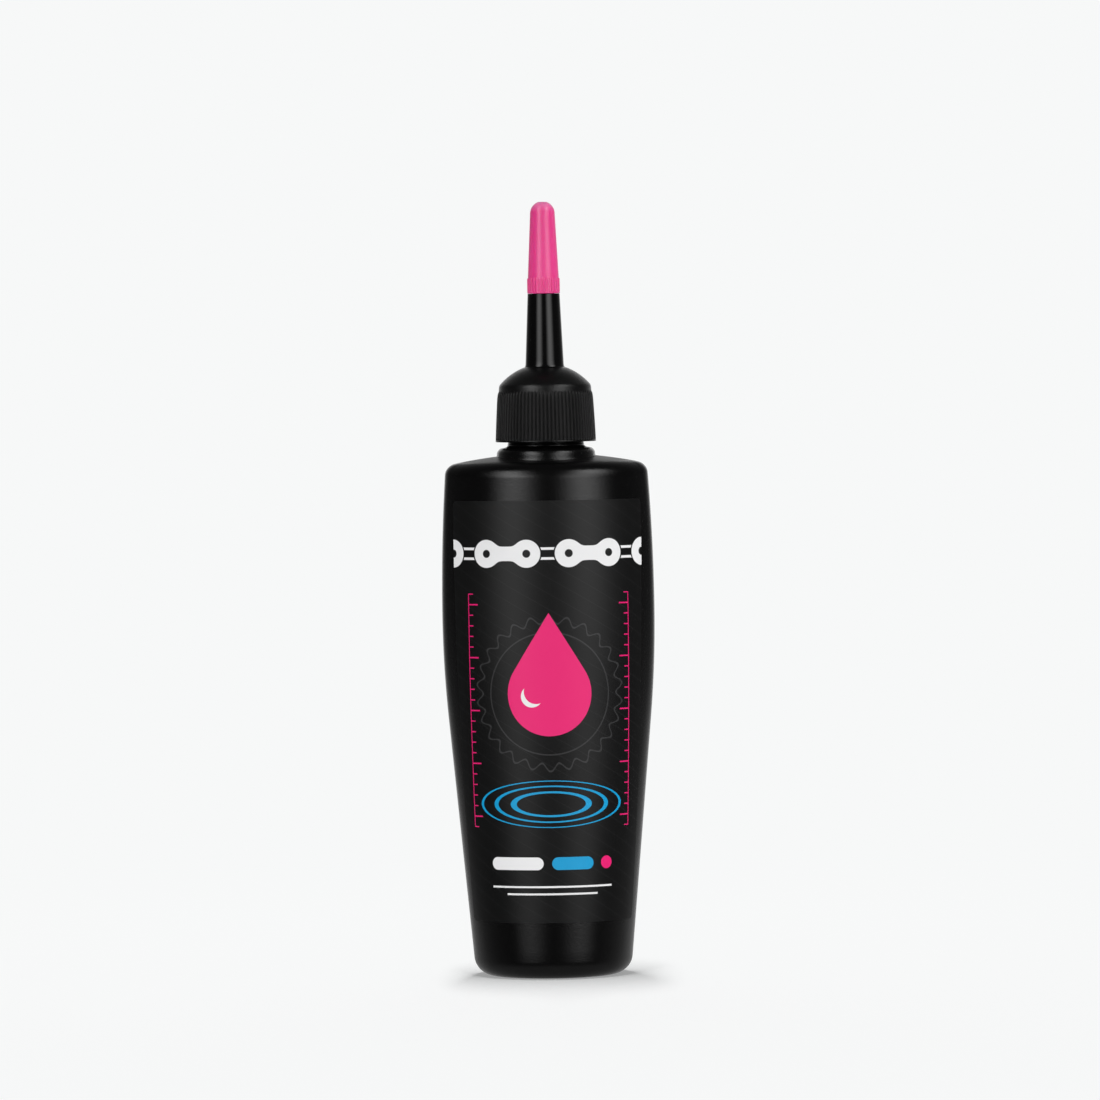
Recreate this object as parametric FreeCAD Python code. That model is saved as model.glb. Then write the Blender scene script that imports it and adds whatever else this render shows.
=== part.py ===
import FreeCAD, Part
import math
import os

# Squeeze bottle for chain lubricant: a blown bottle with a front label, a screwed cap with a long spout,
# a sealing washer inside that cap and a push-on cap over the end of the spout.
# Millimetres, +Z up. The wide front faces -Y and the origin is the middle of the base.

# Bottle: round at the base, flattened towards the shoulder
base_radius = 18.42
taper = 0.0918
taper_top_z = 61.4
widest_z = 86.3
upper_curve_r = 470.0
shoulder_z = 121.0
shoulder_half_depth = 15.6
blend_angle = math.radians(55.0)
heel_round = 4.2
wall = 0.95
floor = 1.15
foot_recess_radius = 11.0
foot_recess_depth = 1.2

# Shoulder: rounded edge, then a low crown; shares are of the oval at the edge
shoulder_round = 2.6
round_share = 0.12
crown_share = 0.63
crown_rise = 1.85
crown_top_share = 0.3
crown_top_rise = 2.52

# Collar and neck
collar_height = 4.35
collar_foot_radius = 11.8
collar_radius = 11.45
collar_top_radius = 10.95
collar_crown = 0.8
collar_edge = 0.55
neck_radius = 9.1
neck_bore_radius = 7.4
neck_height = 11.55
lip_chamfer = 0.4

# Screwed cap with spout
thread_depth = 0.8
thread_clear = 0.2
cap_gap = 0.95
skirt_wall = 0.88
skirt_flare = 0.64
lid_thick = 0.6
rim_height = 0.45
rib_count = 76
rib_share = 0.0245
rib_fade = 1.9
rib_seat = 0.02
dome_edge_width = 0.16
dome_edge_height = 0.9
dome_height = 5.23
dome_wall = 1.4
spout_radius = 4.55
spout_flare = 0.2
spout_top_radius = 3.82
spout_height = 17.57
spout_bore_radius = 2.3
spigot_radius = 2.4
spigot_height = 19.4
spigot_chamfer = 0.3
outlet_radius = 1.1

# Sealing washer
washer_thick = 1.0
washer_side_clear = 0.3
seal_clear = 0.05

# Push-on cap for the spout
tip_seat_clear = 0.15
tip_fit_clear = 0.12
tip_foot_radius = 3.7
tip_head_radius = 2.95
tip_end_clear = 0.85
tip_top_thick = 1.6
tip_flat_radius = 1.0
tip_band_height = 3.7
tip_rib_count = 28
tip_rib_share = 0.045
tip_rib_fade = 0.45
tip_lip_height = 0.4

# Front label
label_bottom_z = 13.4
label_top_margin = 8.15
label_half_arc = 24.35
label_spread = 0.039
label_corner = 1.3
label_thick = 0.12
label_glue = 0.03

# Heights and radii that follow from the sizes above
collar_top_z = shoulder_z + collar_height
lip_z = collar_top_z + neck_height
skirt_z = collar_top_z + cap_gap
land_z = lip_z + 2 * seal_clear + washer_thick
skirt_top_z = land_z + lid_thick
skirt_height = skirt_top_z - skirt_z
dome_z = skirt_top_z + dome_height
step_z = dome_z + spout_height
spigot_z = step_z + spigot_height
tip_z = step_z + tip_seat_clear
inner_top_z = spigot_z + tip_end_clear
tip_top_z = inner_top_z + tip_top_thick
cap_bore_radius = neck_radius + thread_depth + thread_clear
skirt_top_radius = cap_bore_radius + skirt_wall
skirt_radius = skirt_top_radius + skirt_flare
label_top_z = shoulder_z - label_top_margin


def point(x, y, z):
    return FreeCAD.Vector(x, y, z)


# Bottle body: a stack of four-arc ovals that follow the outline
def half_width(z):
    widest = base_radius + taper * (taper_top_z + widest_z) / 2
    if z <= taper_top_z:
        return base_radius + taper * z
    if z <= widest_z:
        return widest - taper * (widest_z - z) ** 2 / (2 * (widest_z - taper_top_z))
    return widest - (z - widest_z) ** 2 / (2 * upper_curve_r)


def half_depth(z):
    return base_radius + (shoulder_half_depth - base_radius) * z / shoulder_z


def oval_radii(a, b):
    # radii of the front and side arcs of an oval with half width a and half depth b
    s = math.sin(blend_angle)
    c = math.cos(blend_angle)
    return (a * c - b * (1 - s)) / (s + c - 1), (b * s - a * (1 - c)) / (s + c - 1)


def oval(a, b, z):
    front, side = oval_radii(a, b)
    x = front * math.sin(blend_angle)
    y = side * math.cos(blend_angle)
    corners = [(-x, -y), (x, -y), (x, y), (-x, y)]
    middles = [(0, -b), (a, 0), (0, b), (-a, 0)]
    edges = []
    for i in range(4):
        spots = (corners[i], middles[i], corners[(i + 1) % 4])
        edges.append(Part.Arc(*[point(p[0], p[1], z) for p in spots]).toShape())
    return Part.Wire(edges)


def wall_oval(z, inset):
    return (half_width(z) - inset, half_depth(z) - inset, z)


def wall_ovals(inset, low, high):
    heights = [low + (taper_top_z - low) * i / 10 for i in range(10)]
    heights += [taper_top_z + (widest_z - taper_top_z) * i / 4 for i in range(4)]
    heights += [widest_z + (high - widest_z) * i / 4 for i in range(5)]
    return [wall_oval(z, inset) for z in heights]


def bend(start, corner, end, steps):
    # ovals round a bend that leaves start and reaches end along the lines to the corner
    rows = []
    for i in range(steps + 1):
        t = i / steps
        shares = ((1 - t) ** 2, 2 * t * (1 - t) * math.cos(math.pi / 4), t ** 2)
        total = sum(shares)
        rows.append(tuple(sum(w * r[k] for w, r in zip(shares, (start, corner, end))) / total for k in range(3)))
    return rows


def stack(rows):
    return Part.makeLoft([oval(*row) for row in rows], True, True)


def body(inset, bottom_z, steps):
    # heel, wall, rounded shoulder edge and crown; an inset greater than 0 gives the hollow inside
    heel = heel_round - inset
    top_z = shoulder_z - inset
    low = bottom_z + heel
    high = top_z - shoulder_round + inset / 2
    a0, b0, z0 = wall_oval(bottom_z, inset)
    a, b, z = wall_oval(top_z, inset)
    rows = bend((a0 - heel, b0 - heel, z0), (a0, b0, z0), wall_oval(low, inset), steps)[:-1]
    rows += wall_ovals(inset, low, high)[:-1]
    crown = []
    for share, rise in ((1 - round_share, crown_rise * round_share / (1 - crown_share)),
                        (crown_share, crown_rise), (crown_top_share, crown_top_rise)):
        crown.append((a * share, b * share, z + rise))
    rows += bend(wall_oval(high, inset), (a, b, z), crown[0], steps)[:-1]
    return stack(rows + bend(*crown, steps))


def turned(profile):
    # a closed outline of (radius, height) corners turned about the axis
    spots = [point(r, 0, z) for r, z in profile]
    outline = Part.makePolygon(spots + spots[:1])
    return Part.Face(outline).revolve(point(0, 0, 0), point(0, 0, 1), 360)


def ball_outline(foot, head, steps):
    # corners along the arc from foot to head whose centre lies on the axis
    centre = (foot[0] ** 2 - head[0] ** 2 + foot[1] ** 2 - head[1] ** 2) / (2 * (foot[1] - head[1]))
    radius = math.hypot(foot[0], foot[1] - centre)
    first = math.atan2(foot[1] - centre, foot[0])
    last = math.atan2(head[1] - centre, head[0])
    angles = [first + (last - first) * i / steps for i in range(steps + 1)]
    return [(radius * math.cos(t), centre + radius * math.sin(t)) for t in angles]


def ribs(count, levels):
    # pointed ribs standing round a turned piece, through (height, root radius, crest radius) levels
    rings = []
    for z, root, crest in levels:
        ring = []
        for i in range(2 * count):
            angle = math.pi * i / count
            radius = crest if i % 2 else root
            ring.append(point(radius * math.cos(angle), radius * math.sin(angle), z))
        rings.append(ring)
    outlines = [rings[0], rings[-1]]
    for below, above in zip(rings, rings[1:]):
        for i in range(2 * count):
            j = (i + 1) % (2 * count)
            outlines.append([below[i], below[j], above[j]])
            outlines.append([below[i], above[j], above[i]])
    shell = Part.makeShell([Part.Face(Part.makePolygon(o + o[:1])) for o in outlines])
    shell.sewShape()
    return Part.makeSolid(shell).removeSplitter()


# Bottle
neck = turned([
    (0, shoulder_z - wall),
    (collar_foot_radius, shoulder_z - wall),
    (collar_radius, collar_top_z - collar_crown - collar_edge),
    (collar_top_radius, collar_top_z - collar_crown),
    (neck_radius, collar_top_z),
    (neck_radius, lip_z - lip_chamfer),
    (neck_radius - lip_chamfer, lip_z),
    (0, lip_z),
])
recess = Part.makeCone(foot_recess_radius, foot_recess_radius - foot_recess_depth, foot_recess_depth)
raised = Part.makeCone(foot_recess_radius + floor, foot_recess_radius + floor - foot_recess_depth,
                       foot_recess_depth, point(0, 0, floor))
bore = Part.makeCylinder(neck_bore_radius, neck_height + 2 * collar_height, point(0, 0, shoulder_z - collar_height))
hollow = body(wall, floor, 2).cut(raised).fuse(bore)
bottle = body(0, 0, 3).fuse(neck).cut(hollow).cut(recess)


# Front label, wrapped over the front of the wall
def label_edge(z):
    share = (z - label_bottom_z) / (label_top_z - label_bottom_z)
    arc = label_half_arc * (1 + label_spread * (2 * share - 1))
    a = half_width(z)
    front, side = oval_radii(a, half_depth(z))
    if arc <= front * blend_angle:
        return front * math.sin(arc / front)
    return a - side + side * math.sin(blend_angle + (arc - front * blend_angle) / side)


rows = [label_bottom_z + (label_top_z - label_bottom_z) * i / 5 for i in range(6)]
edges = []
for side in (1, -1):
    curve = Part.BSplineCurve()
    curve.interpolate([point(side * label_edge(z), 0, z) for z in rows])
    edges.append(curve.toShape())
for z in (rows[0], rows[-1]):
    edges.append(Part.makeLine(point(-label_edge(z), 0, z), point(label_edge(z), 0, z)))
stamp = Part.Face(Part.Wire(Part.__sortEdges__(edges))).extrude(point(0, -2 * base_radius, 0))
upright = [e for e in stamp.Edges if e.BoundBox.YLength > base_radius and e.BoundBox.XLength < 0.01]
stamp = stamp.makeFillet(label_corner, upright)
low, high = label_bottom_z - label_corner, label_top_z + label_corner
outer = stack(wall_ovals(-label_glue - label_thick, low, high))
inner = stack(wall_ovals(-label_glue, low, high))
front_label = outer.cut(inner).common(stamp)

# Sealing washer, held between the lip of the neck and the land inside the screwed cap
washer_z = lip_z + seal_clear
washer_radius = cap_bore_radius - washer_side_clear
sealing_washer = turned([
    (neck_bore_radius, washer_z),
    (washer_radius, washer_z),
    (washer_radius, washer_z + washer_thick),
    (neck_bore_radius, washer_z + washer_thick),
])

# Screwed cap and spout, one moulding
dome_foot = (skirt_top_radius - dome_edge_width, skirt_top_z + dome_edge_height)
dome_head = (spout_radius + spout_flare, dome_z)
funnel_radius = neck_bore_radius - washer_side_clear
funnel_z = dome_foot[1] + dome_wall * 0.75
bore_z = dome_z - dome_wall * 0.35
spout_cap = turned([
    (cap_bore_radius, skirt_z),
    (skirt_radius - 4 * rib_seat, skirt_z),
    (skirt_top_radius, skirt_top_z),
    (skirt_top_radius - dome_edge_width * 0.28, skirt_top_z + dome_edge_height * 0.55),
] + ball_outline(dome_foot, dome_head, 3) + [
    (spout_radius, dome_z + 3 * spout_flare),
    (spout_top_radius, step_z),
    (spigot_radius, step_z),
    (spigot_radius, spigot_z - spigot_chamfer),
    (spigot_radius - spigot_chamfer, spigot_z),
    (outlet_radius, spigot_z),
    (outlet_radius, step_z - dome_wall),
    (spout_bore_radius, step_z - dome_wall),
    (spout_bore_radius, bore_z),
    (funnel_radius, funnel_z),
    (funnel_radius, land_z),
    (cap_bore_radius, land_z),
])
knuckle_z = skirt_top_z - rib_fade
knuckle_radius = skirt_top_radius + (skirt_radius - skirt_top_radius) * rib_fade / skirt_height + rib_seat
skirt_ribs = ribs(rib_count, [
    (skirt_z + rim_height / 2, skirt_radius, skirt_radius * (1 + rib_share)),
    (knuckle_z, knuckle_radius, knuckle_radius * (1 + rib_share)),
    (skirt_top_z, skirt_top_radius + rib_seat, skirt_top_radius + rib_seat),
])
rim = Part.makeCylinder(skirt_radius * (1 + rib_share) + rib_seat, rim_height, point(0, 0, skirt_z))
core = Part.makeCylinder(cap_bore_radius + dome_wall / 4, skirt_height + 1, point(0, 0, skirt_z - 0.5))
spout_cap = spout_cap.fuse(skirt_ribs.fuse(rim).cut(core)).removeSplitter()

# Push-on cap over the spigot
band_z = tip_z + tip_band_height
head_z = tip_top_z - math.sqrt(tip_head_radius ** 2 - tip_flat_radius ** 2)
tip_bore_radius = spigot_radius + tip_fit_clear
tip_cap = turned([
    (tip_bore_radius, tip_z),
    (tip_foot_radius, tip_z),
    (tip_foot_radius, band_z),
] + ball_outline((tip_head_radius, head_z), (tip_flat_radius, tip_top_z), 3) + [
    (0, tip_top_z),
    (0, inner_top_z),
    (tip_bore_radius, inner_top_z),
])
tip_root = tip_foot_radius + rib_seat
tip_ribs = ribs(tip_rib_count, [
    (tip_z + tip_lip_height / 2, tip_root, tip_foot_radius * (1 + tip_rib_share)),
    (band_z - tip_rib_fade, tip_root, tip_foot_radius * (1 + tip_rib_share)),
    (band_z, tip_root, tip_root),
])
lip = Part.makeCylinder(tip_foot_radius * (1 + tip_rib_share) + rib_seat, tip_lip_height, point(0, 0, tip_z))
core = Part.makeCylinder((tip_bore_radius + tip_foot_radius) / 2, tip_band_height + 1, point(0, 0, tip_z - 0.5))
tip_cap = tip_cap.fuse(tip_ribs.fuse(lip).cut(core)).removeSplitter()

os.makedirs("parts", exist_ok=True)
pieces = {
    "bottle": bottle,
    "front_label": front_label,
    "sealing_washer": sealing_washer,
    "spout_cap": spout_cap,
    "tip_cap": tip_cap,
}
for name, shape in pieces.items():
    shape.Solids[0].exportStep("parts/" + name + ".step")
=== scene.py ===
import math

import bpy
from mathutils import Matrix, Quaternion, Vector


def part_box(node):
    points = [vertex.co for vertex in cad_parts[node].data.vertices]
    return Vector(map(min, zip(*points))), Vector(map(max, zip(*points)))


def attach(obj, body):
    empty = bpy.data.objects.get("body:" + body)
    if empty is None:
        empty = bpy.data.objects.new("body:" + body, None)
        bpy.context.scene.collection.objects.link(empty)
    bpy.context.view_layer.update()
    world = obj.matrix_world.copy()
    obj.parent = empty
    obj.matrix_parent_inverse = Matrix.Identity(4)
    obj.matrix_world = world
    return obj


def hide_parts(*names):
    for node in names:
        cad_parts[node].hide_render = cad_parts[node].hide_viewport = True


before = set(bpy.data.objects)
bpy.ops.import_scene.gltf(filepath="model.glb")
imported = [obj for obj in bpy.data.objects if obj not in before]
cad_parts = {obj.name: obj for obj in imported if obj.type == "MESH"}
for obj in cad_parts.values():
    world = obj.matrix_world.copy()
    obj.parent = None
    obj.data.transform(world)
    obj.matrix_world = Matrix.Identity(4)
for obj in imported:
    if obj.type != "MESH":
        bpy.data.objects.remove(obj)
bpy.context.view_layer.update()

# Bottle: one blown moulding in black polyethylene, round at the foot and flattened towards the shoulder,
# with a collar and a threaded neck. It stands on the ring round the push-up in its base, and the two halves
# of the mould leave a fine line down both sides and across the base. Sizes are in millimetres.
MM = 0.001
BASE_RADIUS = 18.42
TAPER = 0.0918
TAPER_TOP_Z = 61.4
WIDEST_Z = 86.3
UPPER_CURVE_R = 470.0
SHOULDER_Z = 121.0
SHOULDER_HALF_DEPTH = 15.6
BLEND_ANGLE = math.radians(55.0)
HEEL_ROUND = 4.2
SIDE_SHOULDER_ROUND = 2.1
FRONT_SHOULDER_ROUND = 2.8
WALL = 0.95
FLOOR = 1.15
PUSH_UP_RADIUS = 11.0
PUSH_UP_DEPTH = 1.2
PUSH_UP_CENTRE_RADIUS = 0.4
PUSH_UP_FLAT_RADIUS = 5.0
SIDE_ROUND_SHARE = 0.09
FRONT_ROUND_SHARE = 0.23
CROWN_SHARE = 0.63
CROWN_RISE = 1.95
CROWN_TOP_SHARE = 0.3
CROWN_TOP_RISE = 2.52
COLLAR_FOOT_RADIUS = 11.6
# Radii from the foot up, each with its share of the way from the crown to the round top edge.
COLLAR_SIDE = ((11.74, -0.06), (11.78, -0.02), (11.75, 0.04), (11.71, 0.1), (11.68, 0.25), (11.66, 0.5),
               (11.65, 0.75))
COLLAR_RADIUS = 11.6
COLLAR_TOP_RADIUS = 10.75
COLLAR_HEIGHT = 4.35
COLLAR_CROWN = 0.4
COLLAR_EDGE = 1.0
NECK_RADIUS = 9.1
NECK_BEAD_HEIGHT = 0.45
NECK_RELIEF = 0.12
NECK_BORE_RADIUS = 7.4
LIP_ROUND = 0.5
LIP_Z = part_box("bottle")[1].z / MM
COLLAR_TOP_Z = SHOULDER_Z + COLLAR_HEIGHT
THREAD_PITCH = 3.175
THREAD_DEPTH = 0.72
THREAD_TURNS = 1.5
THREAD_RISE = 3.0
THREAD_FIRST_Z = COLLAR_TOP_Z + THREAD_RISE
SEAM_HALF_WIDTH = 0.22
BOTTLE_BLACK = (0.0012, 0.0012, 0.0013)
BOTTLE_SMEARED_BLACK = (0.0028, 0.0027, 0.0028)
AROUND = 256


def half_width(z):
    widest = BASE_RADIUS + TAPER * (TAPER_TOP_Z + WIDEST_Z) / 2
    if z <= TAPER_TOP_Z:
        return BASE_RADIUS + TAPER * z
    if z <= WIDEST_Z:
        return widest - TAPER * (WIDEST_Z - z) ** 2 / (2 * (WIDEST_Z - TAPER_TOP_Z))
    return widest - (z - WIDEST_Z) ** 2 / (2 * UPPER_CURVE_R)


def half_depth(z):
    return BASE_RADIUS + (SHOULDER_HALF_DEPTH - BASE_RADIUS) * z / SHOULDER_Z


def oval_radii(a, b):
    s, c = math.sin(BLEND_ANGLE), math.cos(BLEND_ANGLE)
    return (a * c - b * (1 - s)) / (s + c - 1), (b * s - a * (1 - c)) / (s + c - 1)


def oval_point(a, b, turn):
    """Where an oval of four arcs faces the direction turn, counted from the front."""
    front, side = oval_radii(a, b)
    x, y = math.sin(turn), -math.cos(turn)
    if abs(y) >= math.cos(BLEND_ANGLE):
        return front * x, front * y + (b - front) * math.copysign(1.0, y)
    return side * x + (a - side) * math.copysign(1.0, x), side * y


def oval(a, b, z):
    return [(*oval_point(a, b, math.tau * i / AROUND), z) for i in range(AROUND)]


def bend(start, corner, end, steps):
    """Rows round a bend that leaves start and reaches end along the lines to the corner."""
    rows = []
    for i in range(steps + 1):
        t = i / steps
        shares = ((1 - t) ** 2, 2 * t * (1 - t) * math.cos(math.pi / 4), t ** 2)
        ends = list(zip(shares, (start, corner, end)))
        rows.append([sum(w * row[k] for w, row in ends) / sum(shares) for k in range(len(start))])
    return rows


def blown_body(inset, bottom_z, neck_r):
    """Rings up the heel and wall and over the shoulder, to where a neck of radius neck_r stands on it."""
    def wall_oval(z):
        return half_width(z) - inset, half_depth(z) - inset, z

    heel, top_z = HEEL_ROUND - inset, SHOULDER_Z - inset
    below_rolls = 0.3
    low, high = bottom_z + heel, top_z - FRONT_SHOULDER_ROUND - below_rolls
    a0, b0, z0 = wall_oval(bottom_z)
    a, b, z = wall_oval(top_z)
    heel_steps, wall_steps, roll_steps, crown_steps, rise_steps = 10, 44, 12, 14, 64
    rows = bend((a0 - heel, b0 - heel, z0), (a0, b0, z0), wall_oval(low), heel_steps)[:-1]
    rows += [wall_oval(low + (high - low) * i / wall_steps) for i in range(wall_steps)]
    crown_foot = (1 - SIDE_ROUND_SHARE, CROWN_RISE * SIDE_ROUND_SHARE / (1 - CROWN_SHARE))
    rises = bend(crown_foot, (CROWN_SHARE, CROWN_RISE), (CROWN_TOP_SHARE, CROWN_TOP_RISE), rise_steps)

    def crown_point(x, y, share):
        i = next((n for n in range(1, rise_steps) if rises[n][0] <= share), rise_steps)
        (s0, r0), (s1, r1) = rises[i - 1], rises[i]
        return x * share, y * share, z + r0 + (r1 - r0) * (s0 - share) / (s0 - s1)

    columns = []
    nudge = 0.01
    for i, (x, y, _) in enumerate(oval(a, b, z)):
        turn = math.tau * i / AROUND
        front = math.cos(turn) ** 2
        rolled = SIDE_ROUND_SHARE + (FRONT_ROUND_SHARE - SIDE_ROUND_SHARE) * front
        roll = SIDE_SHOULDER_ROUND + (FRONT_SHOULDER_ROUND - SIDE_SHOULDER_ROUND) * front
        roll_z = top_z - roll + inset / 2
        up_wall = [wall_oval(high + (roll_z - high) * step) for step in (0.0, 0.5, 1.0)]
        up_wall = [(*oval_point(wide, deep, turn), level) for wide, deep, level in up_wall]
        end = crown_point(x, y, 1 - rolled)
        slope = (crown_point(x, y, 1 - rolled - nudge)[2] - end[2]) / nudge
        last = neck_r / math.hypot(x, y)
        column = up_wall[:-1] + bend(up_wall[-1], (x, y, end[2] - slope * rolled), end, roll_steps)[:-1]
        column += [crown_point(x, y, 1 - rolled + (last - 1 + rolled) * k / crown_steps)
                   for k in range(crown_steps + 1)]
        columns.append(column)
    return [oval(*row) for row in rows] + [list(ring) for ring in zip(*columns)]


def thread_share(turn, z, first_z, turns):
    """How far the thread stands up at a place round the neck, from 0 to 1; it runs out at both ends."""
    half, flank, run_out = 0.85, 0.5, 0.09
    highest = 0.0
    for k in range(3):
        along = turn / math.tau % 1 + k
        if 0 < along < turns:
            up = min(1.0, max(0.0, (half - abs(z - first_z - THREAD_PITCH * along)) / flank))
            highest = max(highest, up * min(1.0, along / run_out, (turns - along) / run_out))
    return highest


def mould(name, rings, loop=False):
    """A smooth skin over rings of points, closed at both ends or back onto its first ring."""
    around = len(rings[0])
    faces = []
    for k in range(len(rings) if loop else len(rings) - 1):
        low, high = k * around, (k + 1) % len(rings) * around
        for i in range(around):
            j = (i + 1) % around
            faces.append((low + i, low + j, high + j, high + i))
    if not loop:
        faces.append(tuple(reversed(range(around))))
        faces.append(tuple(range((len(rings) - 1) * around, len(rings) * around)))
    mesh = bpy.data.meshes.new(name)
    mesh.from_pydata([[c * MM for c in p] for ring in rings for p in ring], [], faces)
    mesh.shade_smooth()
    piece = bpy.data.objects.new(name, mesh)
    bpy.context.scene.collection.objects.link(piece)
    return piece


outside = blown_body(0.0, 0.0, COLLAR_FOOT_RADIUS)
inside = blown_body(WALL, FLOOR, NECK_BORE_RADIUS)
spokes = [(x / math.hypot(x, y), y / math.hypot(x, y)) for x, y, _ in outside[-1]]
turns_round = [math.atan2(x, -y) for x, y in spokes]


def hoop(r, z):
    return [(r * x, r * y, z) for x, y in spokes]


push_up = [(PUSH_UP_CENTRE_RADIUS, PUSH_UP_DEPTH), (PUSH_UP_FLAT_RADIUS, PUSH_UP_DEPTH)]
push_up += bend((PUSH_UP_RADIUS - 2.2, PUSH_UP_DEPTH), (PUSH_UP_RADIUS - 1.2, PUSH_UP_DEPTH),
                (PUSH_UP_RADIUS - 0.6, PUSH_UP_DEPTH / 2), 5)
push_up += bend((PUSH_UP_RADIUS - 0.5, PUSH_UP_DEPTH / 2.4), (PUSH_UP_RADIUS, 0.0),
                (PUSH_UP_RADIUS + 0.9, 0.0), 5)
rings = [oval(r, r, z) for r, z in push_up] + outside

edge_z = COLLAR_TOP_Z - COLLAR_CROWN
collar = bend((COLLAR_RADIUS, edge_z - COLLAR_EDGE), (COLLAR_RADIUS - 0.14, edge_z - 0.35 * COLLAR_EDGE),
              (COLLAR_TOP_RADIUS, edge_z), 9)
for r, share in COLLAR_SIDE:
    rings.append([(r * x, r * y, z + share * (collar[0][1] - z))
                  for (_, _, z), (x, y) in zip(outside[-1], spokes)])
collar += bend((NECK_RADIUS + 0.6, COLLAR_TOP_Z - 0.22), (NECK_RADIUS + 0.02, COLLAR_TOP_Z),
               (NECK_RADIUS, COLLAR_TOP_Z + 0.25), 5)
bead_z = COLLAR_TOP_Z + NECK_BEAD_HEIGHT
root_radius, root_z = NECK_RADIUS - NECK_RELIEF, bead_z + 0.7
collar += bend((NECK_RADIUS, bead_z), (root_radius + 0.02, bead_z + 0.2), (root_radius, root_z), 5)
rings += [hoop(r, z) for r, z in collar]

neck_steps = 60
neck_top_z = LIP_Z - LIP_ROUND
for k in range(1, neck_steps + 1):
    z = root_z + (neck_top_z - root_z) * k / neck_steps
    reach = [root_radius + THREAD_DEPTH * thread_share(turn, z, THREAD_FIRST_Z, THREAD_TURNS)
             for turn in turns_round]
    rings.append([(r * x, r * y, z) for r, (x, y) in zip(reach, spokes)])
lip = bend((root_radius, neck_top_z), (root_radius, LIP_Z), (root_radius - LIP_ROUND, LIP_Z), 5)[1:]
lip += bend((NECK_BORE_RADIUS + 0.3, LIP_Z), (NECK_BORE_RADIUS, LIP_Z), (NECK_BORE_RADIUS, LIP_Z - 0.3), 3)
rings += [hoop(r, z) for r, z in lip]
rings += list(reversed(inside))
for r, z in ((PUSH_UP_RADIUS + FLOOR, FLOOR), (PUSH_UP_RADIUS + FLOOR - 0.5, FLOOR + PUSH_UP_DEPTH),
             (PUSH_UP_CENTRE_RADIUS, FLOOR + PUSH_UP_DEPTH)):
    rings.append(oval(r, r, z))
bottle = mould("blown_bottle", rings)


class Socket:
    """A shader socket that takes part in sums, and adds the nodes of its own material or world."""

    def __init__(self, tree, socket=None):
        self.tree, self.socket = tree, socket

    def node(self, kind, settings=None, sockets=None, out=0):
        """Adds a node: its settings first, then the values or links of its sockets."""
        node = self.tree.nodes.new(kind)
        for key, value in (settings or {}).items():
            if key == "stops":
                for i, (place, shade) in enumerate(value):
                    stop = node.color_ramp.elements[i] if i < 2 else node.color_ramp.elements.new(place)
                    stop.position, stop.color = place, (*shade, 1.0)
            else:
                setattr(node, key, value)
        for key, value in (sockets or {}).items():
            if isinstance(value, Socket):
                self.tree.links.new(value.socket, node.inputs[key])
            else:
                node.inputs[key].default_value = value
        return Socket(self.tree, node.outputs[out] if node.outputs else None)

    def math(self, operation, a, b=0.0, clamp=False):
        return self.node("ShaderNodeMath", {"operation": operation, "use_clamp": clamp}, {0: a, 1: b})

    def __add__(self, other):
        return self.math("ADD", self, other)

    def __radd__(self, other):
        return self.math("ADD", other, self)

    def __sub__(self, other):
        return self.math("SUBTRACT", self, other)

    def __rsub__(self, other):
        return self.math("SUBTRACT", other, self)

    def __mul__(self, other):
        return self.math("MULTIPLY", self, other)

    def __rmul__(self, other):
        return self.math("MULTIPLY", other, self)

    def __truediv__(self, other):
        return self.math("DIVIDE", self, other)

    def __pow__(self, other):
        return self.math("POWER", self, other)

    def __abs__(self):
        return self.math("ABSOLUTE", self)

    def __gt__(self, other):
        return self.math("GREATER_THAN", self, other)

    def __lt__(self, other):
        return self.math("LESS_THAN", self, other)

    def least(self, other):
        return self.math("MINIMUM", self, other)

    def most(self, other):
        return self.math("MAXIMUM", self, other)

    def clamp(self):
        return self.math("ADD", self, 0.0, True)

    def colour(self, low, high):
        """From the colour low, where this is 0, to the colour high, where it is 1."""
        low, high = (c if isinstance(c, Socket) else (*c, 1.0) for c in (low, high))
        return self.node("ShaderNodeMix", {"data_type": "RGBA"}, {0: self, 6: low, 7: high}, 2)


def new_finish(name, *pieces):
    finish = bpy.data.materials.new(name)
    finish.use_nodes = True
    finish.node_tree.nodes.clear()
    for piece in pieces:
        piece.data.materials.append(finish)
    return Socket(finish.node_tree)


def axes(socket):
    return [socket.node("ShaderNodeSeparateXYZ", {}, {0: socket}, k) for k in range(3)]


def length(a, b):
    return (a * a + b * b) ** 0.5


def noise(place, scale, detail=2.0, roughness=0.5):
    sockets = {"Vector": place, "Scale": scale, "Detail": detail, "Roughness": roughness}
    return place.node("ShaderNodeTexNoise", {}, sockets)


def stretched(place, scale):
    return place.node("ShaderNodeMapping", {}, {"Vector": place, "Scale": scale})


def bumped(height, distance, strength=1.0, normal=None):
    sockets = {"Strength": strength, "Distance": distance, "Height": height}
    if normal:
        sockets["Normal"] = normal
    return height.node("ShaderNodeBump", {}, sockets)


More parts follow.
